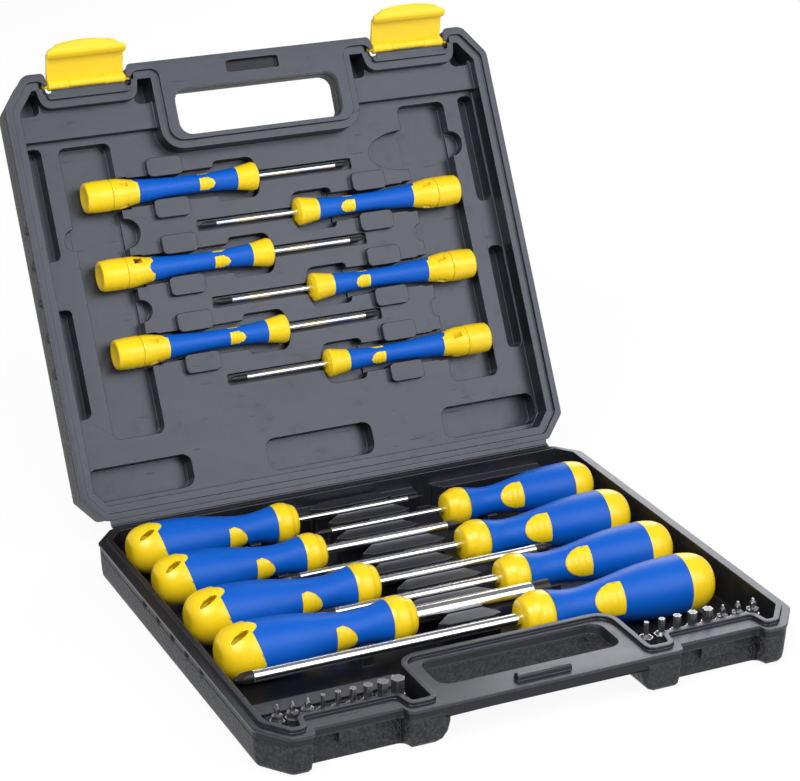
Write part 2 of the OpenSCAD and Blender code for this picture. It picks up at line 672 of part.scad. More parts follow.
// Everything sunk below the deck of the lid; `grow` gives the outside of the wall round it.
module lid_hollows(grow) {
    for (side = [-1, 1]) {
        // the column that the caps of one side lie in
        lid_pocket(deep_n, min(side * 86, side * 115), 45, max(side * 86, side * 115), 205, 4, grow);
        // two deep slots down the edge
        lid_pocket(pocket_n, min(side * 124.5, side * 133.5), 59, max(side * 124.5, side * 133.5), 118, 3, grow);
        lid_pocket(pocket_n, min(side * 124.5, side * 133.5), 145, max(side * 124.5, side * 133.5), 206, 3, grow);
        // pockets beside the hinge
        lid_pocket(pocket_n, min(side * 75, side * 133), 14, max(side * 75, side * 133), 31.5, 5, grow);
    }
    lid_pocket(pocket_n, -31.5, 14, 31.5, 31.5, 5, grow);
    for (i = [1:6]) {
        s = mini_s(i);
        side = mini_side(i);
        neck = side < 0 ? mini_left_x + 27 : -(mini_right_x - 27);
        collar = side < 0 ? mini_left_x + mini_collar - 3 : -(mini_right_x - mini_collar + 3);
        tip = side < 0 ? mini_left_x + mini_len + mini_blade + 1.5 : -(mini_right_x - mini_len - mini_blade - 1.5);
        mirror([side < 0 ? 0 : 1, 0, 0]) {
            lid_pocket(mini_n + 7.2, -90, s - 8, collar + 4, s + 8, 2, grow);
            lid_pocket(mini_n + 8.9, -90, s - 8.8, -79, s + 8.8, 2, grow);
            translate([0, 0, base_h + seam + 1]) linear_extrude(mini_n + 8.4 + grow - seam - 1)
                polygon(rounded([[collar - 8 - grow, lid_y(s + 11.4) - grow, 3 + grow],
                    [collar + 15 + grow, lid_y(s + 11.4) - grow, 5 + grow],
                    [collar + 18.5 + grow, lid_y(s), 3 + grow],
                    [collar + 15 + grow, lid_y(s - 11.4) + grow, 5 + grow],
                    [collar - 8 - grow, lid_y(s - 11.4) + grow, 3 + grow]]));
            lid_pocket(mini_n + 4, collar + 14, s - 3, tip, s + 3, 1.2, grow);
        }
    }
    // finger scoops beside the cap columns
    for (scoop = [[-86, 154.5, 8], [-115, 154.5, 6], [-86, 111.5, 6], [115, 180, 7], [86, 132, 5], [86, 88.5, 5]])
        translate([scoop[0], lid_y(scoop[1]), base_h + seam + 1])
            cylinder(r = scoop[2] + grow, h = deep_n - 2 + grow - seam - 1);
    translate([86, lid_y(180), base_h + seam + 1]) linear_extrude(deep_n - 2 + grow - seam - 1)
        polygon([for (a = [90:15:270]) [(23 + grow) * cos(a), (11.5 + grow) * sin(a)]]);
    // hooks of the contour beside the latches
    for (side = [-1, 1]) {
        lid_pocket(19, min(side * (recess_out + 4), side * (recess_out + 15)), 223,
            max(side * (recess_out + 4), side * (recess_out + 15)), 235, 3, grow);
        lid_pocket(19, min(side * (recess_in - 14), side * (recess_in - 3.5)), 223,
            max(side * (recess_in - 14), side * (recess_in - 3.5)), 237, 3, grow);
    }
}

module clip_boss(x, s) translate([0, 0, base_h + 9.3])
    linear_extrude(deck_n + 5 - 9.3)
        polygon(rounded(box_outline(x - 10, lid_y(s + 5.2), x + 10, lid_y(s - 5.2), 2.6)));

module lid_tray_body(floor_z) {
    prism(floor_z, base_h + lid_band_n + skin, inset(bead_plan, -bead_gap - skin));
    prism(floor_z, base_h + shelf_n + skin, inset(bead_plan, band_w - skin));
    intersection() {
        prism(floor_z, base_h + deck_n + skin, inset(bead_plan, band_w - skin));
        translate([-hw, front + shelf_edge - skin, 0]) cube([case_w, case_d, 80]);
    }
    intersection() {
        lid_hollows(skin);
        prism(floor_z, base_h + lid_h, inset(bead_plan, band_w - skin));
    }
}

module lid_tray() color(tray_black) lid_pose() {
    floor_z = base_h + seam;
    inner = inset(bead_plan, band_w);
    difference() {
        union() {
            prism(floor_z, floor_z + rim_t, rim_plan(lid_setback));
            lid_tray_body(floor_z);
        }
        trunnion_bores();
        prism(base_h - 1, base_h + lid_band_n, inset(bead_plan, -bead_gap));
        prism(base_h - 1, base_h + shelf_n, inner);
        intersection() {
            prism(base_h - 1, base_h + deck_n, inner);
            translate([-hw, front + shelf_edge, 0]) cube([case_w, case_d, 80]);
        }
        intersection() {
            lid_hollows(0);
            prism(floor_z - 1, base_h + lid_h, inner);
        }
        prism(base_h - 1, base_h + 10, grip_hole);
        tongue_slot();
        recess_notches();
    }
    for (i = [1:6]) for (d = [-11.5, 11.5]) clip_boss(mini_side(i) * 58.5, mini_s(i) + d);
}

// ---- latches -----------------------------------------------------------------------------------
// A latch is drawn closed, hanging from its trunnions with the hook under the catch. Below the hook
// the plate turns outwards as a finger tab with a bowed edge.
plate_t = 2.4;
plate_face = front + base_setback - 0.35;
hook_z = catch_bottom - 0.3;
hook_lip = 2.4;
knuckle_r = 2.8;
knuckle_len = 11.5;
tab_drop = 8.6;

// Cross-section from the pivot down: [inwards, up].
module latch_section(face, hook) polygon([
    [face - plate_t, 0], [face, 0], [face, hook], [face + hook_lip, hook], [face + 3.3, hook - 1.4],
    [face + 3.8, hook - 3.2], [face + 3.3, hook - 5], [face + 1.6, hook - 7], [face + 0.4, hook - tab_drop],
    [face - 1.3, hook - tab_drop], [face - 0.2, hook - 6.6], [face + 1.3, hook - 4.8], [face + 1.5, hook - 3.2],
    [face - 1, hook - 1.4], [face - plate_t, hook - 0.4]]);

// Outline seen from the front: sides, the tab with chamfered corners, and the bowed edge.
module latch_outline(half, hook) polygon([
    [-half, 1], [-half, hook - 0.6], [-half - 0.5, hook - 1], [-half - 0.5, hook - 4.6], [3.9 - half, hook - 6.2],
    [5.1 - half, hook - 6.9],
    for (k = [-3:3]) [k * 5.5, hook - tab_drop + 1.6 * pow(k / 3.1, 2)],
    [half - 5.1, hook - 6.9], [half - 3.9, hook - 6.2], [half + 0.5, hook - 4.6], [half + 0.5, hook - 1],
    [half, hook - 0.6], [half, 1]]);

module latch(side) color(yellow) lid_pose()
    translate([side * latch_x, latch_pivot_y, latch_pivot_z]) rotate([-(90 - latch_lean), 0, 0]) {
        half = latch_w / 2;
        face = plate_face - latch_pivot_y;
        hook = hook_z - latch_pivot_z;
        intersection() {
            rotate([90, 0, 90]) linear_extrude(latch_w + 4, center = true) latch_section(face, hook);
            rotate([90, 0, 0]) linear_extrude(40, center = true) latch_outline(half, hook);
        }
        for (end = [-1, 1]) translate([end * (half - knuckle_len / 2), 0, 0]) along_x()
            cylinder(r = knuckle_r, h = knuckle_len, center = true);
        along_x() cylinder(r = knuckle_r - 0.5, h = latch_w - 2, center = true);
        along_x() cylinder(r = trunnion_r, h = latch_w + 6, center = true);
    }

module left_latch() latch(-1);
module right_latch() latch(1);

base_shell();
base_tray();
base_hinge_leaf();
lid_shell();
lid_tray();
lid_hinge_leaf();
left_latch();
right_latch();
for (i = [1:8]) {
    driver_shaft(i);
    driver_core(i);
    driver_grip(i);
}
for (i = [1:6]) {
    mini_blade_shape(i);
    mini_core(i);
    mini_grip(i);
    mini_cap(i);
}
pozi_bits();
hex_bits();
torx_bits();
cross_bits();
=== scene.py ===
"""Looks of an open hard tool case with its screwdrivers, precision screwdrivers and bits."""

import json
import math

import bmesh
import bpy
from bpy.props import FloatProperty, FloatVectorProperty, PointerProperty
from mathutils import Matrix, Vector

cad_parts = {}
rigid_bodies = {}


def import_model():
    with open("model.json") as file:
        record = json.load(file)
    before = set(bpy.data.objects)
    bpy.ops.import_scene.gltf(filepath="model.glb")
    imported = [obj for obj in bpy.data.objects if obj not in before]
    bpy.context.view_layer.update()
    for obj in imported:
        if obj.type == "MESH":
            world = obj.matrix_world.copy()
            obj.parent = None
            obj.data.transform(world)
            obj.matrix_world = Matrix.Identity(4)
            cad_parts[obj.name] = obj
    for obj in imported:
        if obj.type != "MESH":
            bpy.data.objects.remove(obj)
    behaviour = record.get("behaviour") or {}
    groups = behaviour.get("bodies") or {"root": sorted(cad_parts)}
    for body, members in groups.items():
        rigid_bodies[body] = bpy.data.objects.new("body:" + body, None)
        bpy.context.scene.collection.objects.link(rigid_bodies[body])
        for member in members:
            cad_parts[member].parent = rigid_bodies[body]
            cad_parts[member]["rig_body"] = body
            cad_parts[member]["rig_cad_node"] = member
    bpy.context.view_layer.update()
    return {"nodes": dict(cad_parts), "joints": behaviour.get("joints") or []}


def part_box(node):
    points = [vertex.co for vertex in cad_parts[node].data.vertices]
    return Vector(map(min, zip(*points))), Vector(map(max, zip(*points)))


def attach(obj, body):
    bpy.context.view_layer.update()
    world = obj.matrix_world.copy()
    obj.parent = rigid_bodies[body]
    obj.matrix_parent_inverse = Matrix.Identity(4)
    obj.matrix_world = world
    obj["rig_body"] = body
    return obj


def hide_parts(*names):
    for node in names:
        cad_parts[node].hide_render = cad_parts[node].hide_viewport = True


bl_info = {
    "name": "Tool Case",
    "version": (1, 0, 0),
    "blender": (4, 5, 0),
    "location": "View3D > Sidebar > Tool Case",
    "description": "Finishes the case, its latches, the screwdrivers and the bits",
    "category": "Object",
}

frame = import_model()
nodes = frame["nodes"]

MM = 0.001
DRIVERS = range(1, 9)
LEFT, RIGHT = -1, 1

# the living hinge's crease, and how far the lid leans back from closed
hinge = next(j for j in frame["joints"] if j["name"] == "lid_hinge")
pivot = Vector(hinge["pos_m"])
lid_angle = math.radians(-hinge["range_deg"][0])
# directions from the parting face into each half, and from the hinge towards its handle
INTO = {"base": (0, 0, -1), "lid": (0, math.sin(lid_angle), math.cos(lid_angle))}
ALONG = {"base": (0, -1, 0), "lid": (0, -math.cos(lid_angle), math.sin(lid_angle))}


# ---- sizes and colours that a user would change ------------------------------------------------
def colour(name, description, default):
    return FloatVectorProperty(
        name=name, description=description, default=default, subtype="COLOR", size=3, min=0, max=1
    )


def length(name, description, default):
    return FloatProperty(
        name=name, description=description, default=default, subtype="DISTANCE",
        unit="LENGTH", min=0,
    )


def power(name, description, default):
    return FloatProperty(
        name=name, description=description, default=default, subtype="POWER", min=0
    )


class CaseFinish(bpy.types.PropertyGroup):
    """Plastics of the case"""

    outside: colour("Outside", "Grained outer walls", (0.006, 0.006, 0.0065))
    inside: colour("Inside", "Smooth trays and rims", (0.007, 0.0072, 0.009))
    latch: colour("Latches", "Moulded snap latches", (0.9, 0.62, 0.012))
    edge: length("Edge radius", "Rounding of the moulded edges", 0.00035)
    grain: length("Grain size", "Width of one pebble of the outer grain", 0.0016)


class ToolFinish(bpy.types.PropertyGroup):
    """Plastics and metals of the tools"""

    core: colour("Handle core", "Hard yellow plastic of the handles", (0.95, 0.66, 0.012))
    grip: colour("Grip", "Soft blue overmould", (0.0, 0.09, 0.5))
    steel: colour("Shafts", "Plated shafts and blades", (0.82, 0.83, 0.85))
    dark_steel: colour("Bits", "Dark bits and blackened tips", (0.03, 0.03, 0.032))
    tip: length("Blackened tip", "Length of the dark end of a blade", 0.009)


class StageFinish(bpy.types.PropertyGroup):
    """Floor and lights"""

    floor: colour("Floor", "Pale floor", (0.9, 0.9, 0.9))
    size: length("Floor size", "Side of the floor", 8)
    key: power("Key light", "Power of the large light above, on the left", 22)
    front: power("Front light", "Power of the light in front, on the right", 12)
    back: power("Back light", "Power of the light behind, on the right", 7)


# ---- selecting and shaping ---------------------------------------------------------------------
MERGE = 2e-6  # corners of a CAD mesh closer than this, in metres, are one


def only(*objs):
    """Selects these objects alone; the first is active."""
    if bpy.context.object and bpy.context.object.mode != "OBJECT":
        bpy.ops.object.mode_set(mode="OBJECT")
    bpy.ops.object.select_all(action="DESELECT")
    for o in objs:
        o.select_set(True)
    bpy.context.view_layer.objects.active = objs[0]


def none():
    """Selects nothing, so that the next primitive is alone."""
    bpy.ops.object.select_all(action="DESELECT")
    bpy.context.view_layer.objects.active = None


def apply_modifier(obj, kind, **settings):
    """Adds one modifier with these settings and applies it."""
    only(obj)
    m = obj.modifiers.new(kind.title(), kind)
    for k, v in settings.items():
        setattr(m, k, v)
    bpy.ops.object.modifier_apply(modifier=m.name)


def refinish(obj, material):
    """Gives an object this material alone."""
    obj.data.materials.clear()
    obj.data.materials.append(material)


def smooth(obj, degrees):
    """Smooth shading, but for edges sharper than this angle."""
    only(obj)
    bpy.ops.object.shade_smooth_by_angle(angle=math.radians(degrees))


def settle(obj, name, body, slot_name, material, *replaced):
    """Names a finished piece, puts its place in its mesh, and fixes it to its body."""
    only(obj)
    bpy.ops.object.transform_apply(location=True, rotation=True, scale=True)
    obj.name = obj.data.name = name
    refinish(obj, material)
    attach(obj, body)
    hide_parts(*replaced)


def node_copy(node):
    """A joined-up copy of a CAD node's mesh, as the start of a piece."""
    only(nodes[node])
    bpy.ops.object.duplicate()
    obj = bpy.context.object
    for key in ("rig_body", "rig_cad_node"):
        if key in obj:
            del obj[key]
    obj.parent = None
    only(obj)
    bpy.ops.mesh.customdata_custom_splitnormals_clear()
    bpy.ops.object.mode_set(mode="EDIT")
    bpy.ops.mesh.select_all(action="SELECT")
    bpy.ops.mesh.remove_doubles(threshold=MERGE)
    # only triangles in one plane are joined, whatever the shape of the pair
    bpy.ops.mesh.tris_convert_to_quads(
        face_threshold=math.radians(0.5), shape_threshold=math.radians(179)
    )
    bpy.ops.object.mode_set(mode="OBJECT")
    return obj


def eased(node, width, angle=32):
    """A copy of a node whose edges sharper than `angle` are rounded."""
    obj = node_copy(node)
    apply_modifier(
        obj, "BEVEL", width=width, segments=2, limit_method="ANGLE",
        angle_limit=math.radians(angle), use_clamp_overlap=False,
    )
    smooth(obj, 50)
    apply_modifier(obj, "WEIGHTED_NORMAL", weight=90, keep_sharp=True)
    return obj


# ---- shader maths ------------------------------------------------------------------------------
class Socket:
    """An output of a shader node; arithmetic on it adds Math nodes."""

    def __init__(self, finish, socket):
        self.finish, self.socket = finish, socket

    def math(self, operation, *others):
        return self.finish.node("ShaderNodeMath", {"operation": operation}, *others)[0]

    def __add__(self, o):
        return self.math("ADD", self, o)

    def __sub__(self, o):
        return self.math("SUBTRACT", self, o)

    def __rsub__(self, o):
        return self.math("SUBTRACT", o, self)

    def __mul__(self, o):
        return self.math("MULTIPLY", self, o)

    __radd__, __rmul__ = __add__, __mul__

    def min(self, o):
        return self.math("MINIMUM", self, o)

    def max(self, o):
        return self.math("MAXIMUM", self, o)

    def size(self):
        return self.math("ABSOLUTE", self)

    def between(self, low, high):
        """0 at low to 1 at high, eased at both ends."""
        return self.finish.node(
            "ShaderNodeMapRange", {"interpolation_type": "SMOOTHSTEP"}, self,
            **{"From Min": low, "From Max": high},
        )["Result"]


class Finish:
    """A material being mixed: node() adds any node, and set() feeds the shader."""

    def __init__(self, name, colour, roughness, metallic=0.0, **constants):
        self.material = bpy.data.materials.new(name)
        self.material.use_nodes = True
        self.tree = self.material.node_tree
        self.shader = self.tree.nodes["Principled BSDF"]
        self.material.diffuse_color = (*colour, 1)
        self.set("Base Color", colour)
        self.set("Roughness", roughness)
        self.set("Metallic", metallic)
        for k, v in constants.items():
            self.set(k.replace("_", " "), v)
        coordinates = self.node("ShaderNodeTexCoord")
        self.place, self.facing = coordinates["Object"], coordinates["Normal"]

    def set(self, name, value):
        self.link(self.shader.inputs[name], value)

    def link(self, socket, value):
        if isinstance(value, Socket):
            self.tree.links.new(value.socket, socket)
        elif socket.type == "RGBA" and len(value) == 3:
            socket.default_value = (*value, 1)
        else:
            socket.default_value = value

    def node(self, kind, settings=None, *values, **named):
        """Adds a node: its settings, its inputs in order, its inputs by name; gives its outputs."""
        n = self.tree.nodes.new(kind)
        for k, v in (settings or {}).items():
            setattr(n, k, v)
        for i, v in enumerate(values):
            self.link(n.inputs[i], v)
        for k, v in named.items():
            self.link(n.inputs[k], v)
        outputs = {i: Socket(self, o) for i, o in enumerate(n.outputs)}
        outputs.update({o.name: Socket(self, o) for o in n.outputs if o.enabled})
        return outputs

    def noise(self, width, detail=2.0, roughness=0.5, stretch=1, distortion=0.0):
        """Noise whose spots are `width` metres wide, and `stretch` times as long along X."""
        place = self.place
        if stretch != 1:
            shrunk = (1 / stretch, 1, 1)
            place = self.node("ShaderNodeMapping", None, Vector=place, Scale=shrunk)["Vector"]
        return self.node(
            "ShaderNodeTexNoise", None, Vector=place, Scale=1 / width, Detail=detail,
            Roughness=roughness, Distortion=distortion,
        )["Fac"]

    def cells(self, width):
        """Distance from the middle of soft-edged cells `width` metres wide."""
        return self.node(
            "ShaderNodeTexVoronoi", {"feature": "SMOOTH_F1"}, Vector=self.place, Scale=1 / width
        )["Distance"]

    def across(self):
        """Distance along X from the middle of the case."""
        return self.node("ShaderNodeSeparateXYZ", None, self.place)["X"]

    def dot(self, a, b):
        return self.node("ShaderNodeVectorMath", {"operation": "DOT_PRODUCT"}, a, b)["Value"]

    def mix(self, factor, a, b):
        """Colour a where factor is 0, b where it is 1."""
        n = self.tree.nodes.new("ShaderNodeMix")
        n.data_type = "RGBA"
        for i, v in ((0, factor), (6, a), (7, b)):
            self.link(n.inputs[i], v)
        return Socket(self, n.outputs[2])

    def bump(self, height, depth, strength=1.0):
        """A normal for relief `depth` metres deep."""
        return self.node(
            "ShaderNodeBump", None, Height=height, Distance=depth, Strength=strength
        )["Normal"]

    def edges(self, radius):
        """1 along convex and concave edges, 0 on flats."""
        soft = self.node("ShaderNodeBevel", {"samples": 4}, Radius=radius)["Normal"]
        hard = self.node("ShaderNodeNewGeometry")["Normal"]
        return (1 - self.dot(soft, hard)).between(0.01, 0.25)


# ---- finishes ----------------------------------------------------------------------------------
def scaled(colour, amount):
    return tuple(c * amount for c in colour)


def outside_plastic(body):
    """Black polyethylene with a leather grain, but for the rim's band, the bar and inner faces; the
    pebble tops carry a painted highlight.
    """
    s = bpy.context.scene.case_finish
    f = Finish(
        body + "_grained_polyethylene", s.outside, 0.5,
        Specular_IOR_Level=0.5, Specular_Tint=(0.85, 0.88, 1.0),
    )
    from_hinge = f.node("ShaderNodeVectorMath", {"operation": "SUBTRACT"}, f.place, pivot)["Vector"]
    depth = f.dot(from_hinge, INTO[body])
    reach = f.dot(from_hinge, ALONG[body])
    inner = (f.dot(f.facing, INTO[body]) * -1).between(0.5, 0.9)
    bar = reach.between(0.2375, 0.239) * (1 - f.across().size().between(0.052, 0.054))
    below_rim = depth.between(0.0045, 0.006)
    grained = below_rim * (1 - inner) * (1 - bar)
    pebbles = f.cells(s.grain)
    fine = f.noise(s.grain * 0.5, 3)
    cloud = f.noise(0.03, 3)
    grain = pebbles * 0.8 + fine * 0.6
    highlight_patches = f.noise(0.006, 4).between(0.55, 0.75)
    # painted highlight: the tops of the pebbles are painted up to seven times paler, in uneven
    # patches
    pebble_highlight = (1 - pebbles).between(0.35, 0.9) * (0.5 + highlight_patches * 0.5 + cloud * 0.3) * grained
    f.set("Base Color", f.mix(pebble_highlight, s.outside, scaled(s.outside, 7)))
    f.set("Roughness", 0.34 + fine * 0.2 + cloud * 0.1)
    f.set("Normal", f.bump(grain * grained, s.grain * 0.7, 1.0))
    return f.material


def inside_plastic():
    """Smooth satin polyethylene with faint flow marks, scuffs, fine scratches, and a painted
    highlight along its edges.
    """
    s = bpy.context.scene.case_finish
    f = Finish(
        "satin_polyethylene", s.inside, 0.4, Specular_IOR_Level=0.78, Specular_Tint=(0.8, 0.85, 1.0)
    )
    flow = f.noise(0.05, 3, 0.55, stretch=3)
    satin = f.noise(0.0006, 2)
    scratch = f.noise(0.0012, 2, 0.6, stretch=14, distortion=0.4).between(0.66, 0.8)
    scuff = f.noise(0.012, 5, 0.6).between(0.56, 0.8)
    # painted highlight: convex and concave edges are painted far paler; the flow marks and scuffs
    # mixed in with it are real tone
    edge_highlight = f.edges(0.0009)
    pale = (flow * 0.1 + scuff * 0.1 + edge_highlight * 0.8).min(1)
    f.set("Base Color", f.mix(pale, s.inside, scaled(s.inside, 14)))
    f.set("Roughness", 0.26 + flow * 0.14 + scuff * 0.14 + scratch * 0.12)
    f.set("Normal", f.bump(satin * 0.4 + scratch * 0.3 + flow * 6, 0.00022, 0.7))
    return f.material


def latch_plastic():
    """Yellow polypropylene with flow marks along its width."""
    s = bpy.context.scene.case_finish
    f = Finish("latch_polypropylene", s.latch, 0.42)
    flow = f.noise(0.012, 3, stretch=3)
    satin = f.noise(0.0004, 2)
    f.set("Base Color", f.mix(flow, scaled(s.latch, 0.93), s.latch))
    f.set("Roughness", 0.36 + flow * 0.14)
    f.set("Normal", f.bump(satin * 0.4 + flow, 0.00015, 0.4))
    return f.material


def hard_yellow():
    """Glossy hard plastic with a few scuffs."""
    s = bpy.context.scene.tool_finish
    f = Finish("hard_yellow", s.core, 0.28)
    cloud = f.noise(0.01, 3)
    fine = f.noise(0.0005, 2)
    scuff = f.noise(0.004, 5).between(0.6, 0.78)
    f.set("Base Color", f.mix(cloud * 0.6 + scuff * 0.3, s.core, scaled(s.core, 0.9)))
    f.set("Roughness", 0.24 + cloud * 0.08 + scuff * 0.15)
    f.set("Normal", f.bump(fine * 0.3 + cloud, 0.0001, 0.4))
    return f.material


def soft_grip():
    """Soft satin overmould, a little paler where it is scuffed."""
    s = bpy.context.scene.tool_finish
    f = Finish("soft_grip", s.grip, 0.45, Specular_IOR_Level=0.3)
    cloud = f.noise(0.012, 3)
    fine = f.noise(0.00035, 2)
    scuff = f.noise(0.005, 5).between(0.6, 0.8)
    f.set("Base Color", f.mix(cloud * 0.5 + scuff * 0.3, s.grip, (0.0, 0.12, 0.57)))
    f.set("Roughness", 0.38 + cloud * 0.12 + scuff * 0.12)
    f.set("Normal", f.bump(fine * 0.5 + cloud, 0.00012, 0.5))
    return f.material


def plated_shaft(name, tip_x, side):
    """Bright plated steel, drawn lengthwise; its blackened tip points to `side`, up to tip_x."""
    s = bpy.context.scene.tool_finish
    f = Finish(name, s.steel, 0.16, 1.0)
    drawn = f.noise(0.0004, 3, stretch=40)
    cloud = f.noise(0.006, 3)
    from_tip = (f.across() - tip_x) * -side + (cloud - 0.5) * 0.0015
    plated = from_tip.between(s.tip, s.tip + 0.0008)
    f.set("Base Color", f.mix(plated, s.dark_steel, s.steel))
    f.set("Metallic", 0.6 + plated * 0.4)
    f.set("Roughness", 0.34 - plated * 0.22 + drawn * 0.1 + cloud * 0.05)
    f.set("Normal", f.bump(drawn, 0.00004, 0.12))
    return f.material


def dark_bit_steel():
    """Phosphated tool steel, with a painted highlight along its edges, where it is also glossier.
    """
    s = bpy.context.scene.tool_finish
    f = Finish("phosphated_steel", s.dark_steel, 0.32, 0.9)
    cloud = f.noise(0.002, 4)
    # painted highlight: convex and concave edges are painted near white; the pale patches from the
    # cloud are random tone
    edge_glint = f.edges(0.0007)
    bright = (edge_glint * 0.8 + cloud.between(0.6, 0.8) * 0.2).min(1)
    f.set("Base Color", f.mix(bright, scaled(s.dark_steel, 7), (0.8, 0.8, 0.81)))
    f.set("Roughness", 0.32 - edge_glint * 0.12 + cloud * 0.1)
    f.set("Normal", f.bump(cloud, 0.00005, 0.5))
    return f.material


# ---- operators ---------------------------------------------------------------------------------
class CASE_OT_shells(bpy.types.Operator):
    """Grained outer shells with rounded edges"""

    bl_idname = "case.shells"
    bl_label = "Outer shells"

    def execute(self, context):
        s = context.scene.case_finish
        for body in ("base", "lid"):
            node = body + "_shell"
            skin = eased(node, s.edge)
            settle(skin, node + "_skin", body, "case_outside", outside_plastic(body), node)
        return {"FINISHED"}


class CASE_OT_trays(bpy.types.Operator):
    """Smooth inner trays with rounded edges, and the leaves of the living hinge"""

    bl_idname = "case.trays"
    bl_label = "Inner trays"

    def execute(self, context):
        s = context.scene.case_finish
        material = inside_plastic()
        for body in ("base", "lid"):
            node = body + "_tray"
            settle(eased(node, s.edge), node + "_skin", body, "case_inside", material, node)
            refinish(nodes[body + "_hinge_leaf"], material)
        return {"FINISHED"}


class CASE_OT_latches(bpy.types.Operator):
    """Snap latches with softened edges"""

    bl_idname = "case.latches"
    bl_label = "Latches"

    def execute(self, context):
        material = latch_plastic()
        for node in ("left_latch", "right_latch"):
            moulding = eased(node, 0.4 * MM, 30)
            settle(moulding, node + "_moulding", node, "latch_plastic", material, node)
        return {"FINISHED"}


# ---- the large handles -------------------------------------------------------------------------
# A master handle lies along X with its butt at the origin, and every copy is scaled to its place.
# Lengths in this part are millimetres of that master.
HANDLE_LENGTH = 100

# outline: [distance from the butt, radius]
HANDLE = [
    (0, 5.2), (0.4, 7.2), (1.6, 9.4), (3.8, 11.5), (7.5, 13.2), (13, 14.1), (20, 14.2), (28, 14.0),
    (36, 13.4), (44, 12.3), (52, 10.9), (60, 9.6), (67, 8.8), (73, 8.7), (78, 9.2), (83, 10.2),
    (87, 11.0), (90.5, 11.5), (93.5, 11.35), (95.2, 10.7), (95.8, 10.2), (97.6, 9.7), (99.4, 8.7),
    (100, 7.6),
]

# the sleeve's run, and how far its skin, its underside and the core lie below the outline
SLEEVE_START, SLEEVE_END = 15, 86.3
SKIN_DROP, UNDERSIDE_DROP, CORE_DROP = 0.1, 0.75, 0.7

# windows of the core in the sleeve, by the row that the handle lies in:
# [straight end, bowed end, half width, degrees up from the front]
WINDOWS = {
    LEFT: [(56.7, 67.6, 7.6, -11), (50.4, 65.3, 7.6, 169)],
    RIGHT: [(50.4, 65.3, 7.8, 25), (56.7, 67.6, 7.6, 191)],
}
WINDOW_RISE, RIB_HEIGHT, RIB_PITCH, RIBBED = 0.09, 0.07, 3.4, (48, 69)

# the butt's cap: its surface, the edge left by the cut on the axis, and the slant of that cut
CAP_REACH = 26
CAP_CUT = {LEFT: (18.6, 0.26), RIGHT: (16.2, 0.0)}

# rounding of the edges of windows and cap, and the angle in degrees that makes an edge
PART_EDGE, SHARP = 0.35, 35

# the left row shows the hanging hole, in an ear of the butt that reaches into the sleeve
EAR = (9, 18.8, 5.2, 82)
HOLE_SIZE, HOLE_SPOT, HOLE_LEAN, HOLE_ROLL = (5.2, 1.5, 8), (9, 0, 13.6), 24, 62


def curve_through(points, step):
    """Rings about `step` apart on a smooth curve through [distance, radius] points."""
    rings = []
    for i in range(len(points) - 1):
        p = [Vector(points[min(max(k, 0), len(points) - 1)]) for k in (i - 1, i, i + 1, i + 2)]
        n = max(1, round((p[2] - p[1]).length / step))
        for k in range(n):
            t = k / n
            rings.append(0.5 * (
                2 * p[1] + (p[2] - p[0]) * t + (2 * p[0] - 5 * p[1] + 4 * p[2] - p[3]) * t**2
                + (3 * p[1] - p[0] - 3 * p[2] + p[3]) * t**3
            ))
    return rings + [Vector(points[-1])]


def close_ends(obj, *ends):
    """Fills the ring of open edges at each of these distances, in metres."""
    for end in ends:
        bpy.ops.mesh.select_mode(type="EDGE")
        bpy.ops.mesh.select_all(action="DESELECT")
        mesh = bmesh.from_edit_mesh(obj.data)
        for edge in mesh.edges:
            edge.select = edge.is_boundary and all(abs(v.co.x - end) < 1e-7 for v in edge.verts)
        bmesh.update_edit_mesh(obj.data)
        bpy.ops.mesh.edge_face_add()


def face_outwards(obj):
    """Turns every face outwards."""
    only(obj)
    bpy.ops.object.mode_set(mode="EDIT")
    bpy.ops.mesh.select_all(action="SELECT")
    bpy.ops.mesh.normals_make_consistent(inside=False)
    bpy.ops.object.mode_set(mode="OBJECT")


def lathe(rings, ring_shaped=False):
    """Turns [distance, radius] rings about X: a circle extruded and scaled from ring to ring."""
    rings = [(d * MM, r * MM) for d, r in rings]
    (start, radius), (end, _) = rings[0], rings[-1]
    none()
    bpy.ops.mesh.primitive_circle_add(
        vertices=96, radius=radius, location=(start, 0, 0), rotation=(0, math.pi / 2, 0)
    )
    obj = bpy.context.object
    bpy.ops.object.transform_apply(location=True, rotation=True, scale=True)
    bpy.ops.object.mode_set(mode="EDIT")
    bpy.ops.mesh.select_all(action="SELECT")
    for (d0, r0), (d1, r1) in zip(rings, rings[1:]):
        bpy.ops.mesh.extrude_region_move(TRANSFORM_OT_translate={"value": (d1 - d0, 0, 0)})
        bpy.ops.transform.resize(value=(1, r1 / r0, r1 / r0), center_override=(d1, 0, 0))
    bpy.ops.mesh.select_all(action="SELECT")
    if ring_shaped:
        bpy.ops.mesh.remove_doubles(threshold=1e-6)
    else:
        close_ends(obj, start, end)
    face_outwards(obj)
    return obj


def oval_block(vertices, size, spot, lean=0):
    """A block with an oval outline: its half length, half width and depth, round its middle."""
    none()
    bpy.ops.mesh.primitive_cylinder_add(vertices=vertices, radius=1, depth=1, location=(0, 0, 0))
    obj = bpy.context.object
    obj.scale = [v * MM for v in size]
    obj.rotation_euler = (0, 0, math.radians(lean))
    bpy.ops.object.transform_apply(location=True, rotation=True, scale=True)
    obj.location = [v * MM for v in spot]
    bpy.ops.object.transform_apply(location=True, rotation=True, scale=True)
    return obj


def rolled(obj, roll):
    """Rolls what stands above the axis to `roll` degrees up from the front."""
    only(obj)
    obj.rotation_euler = (math.radians(90 - roll), 0, 0)
    bpy.ops.object.transform_apply(location=True, rotation=True, scale=True)
    return obj


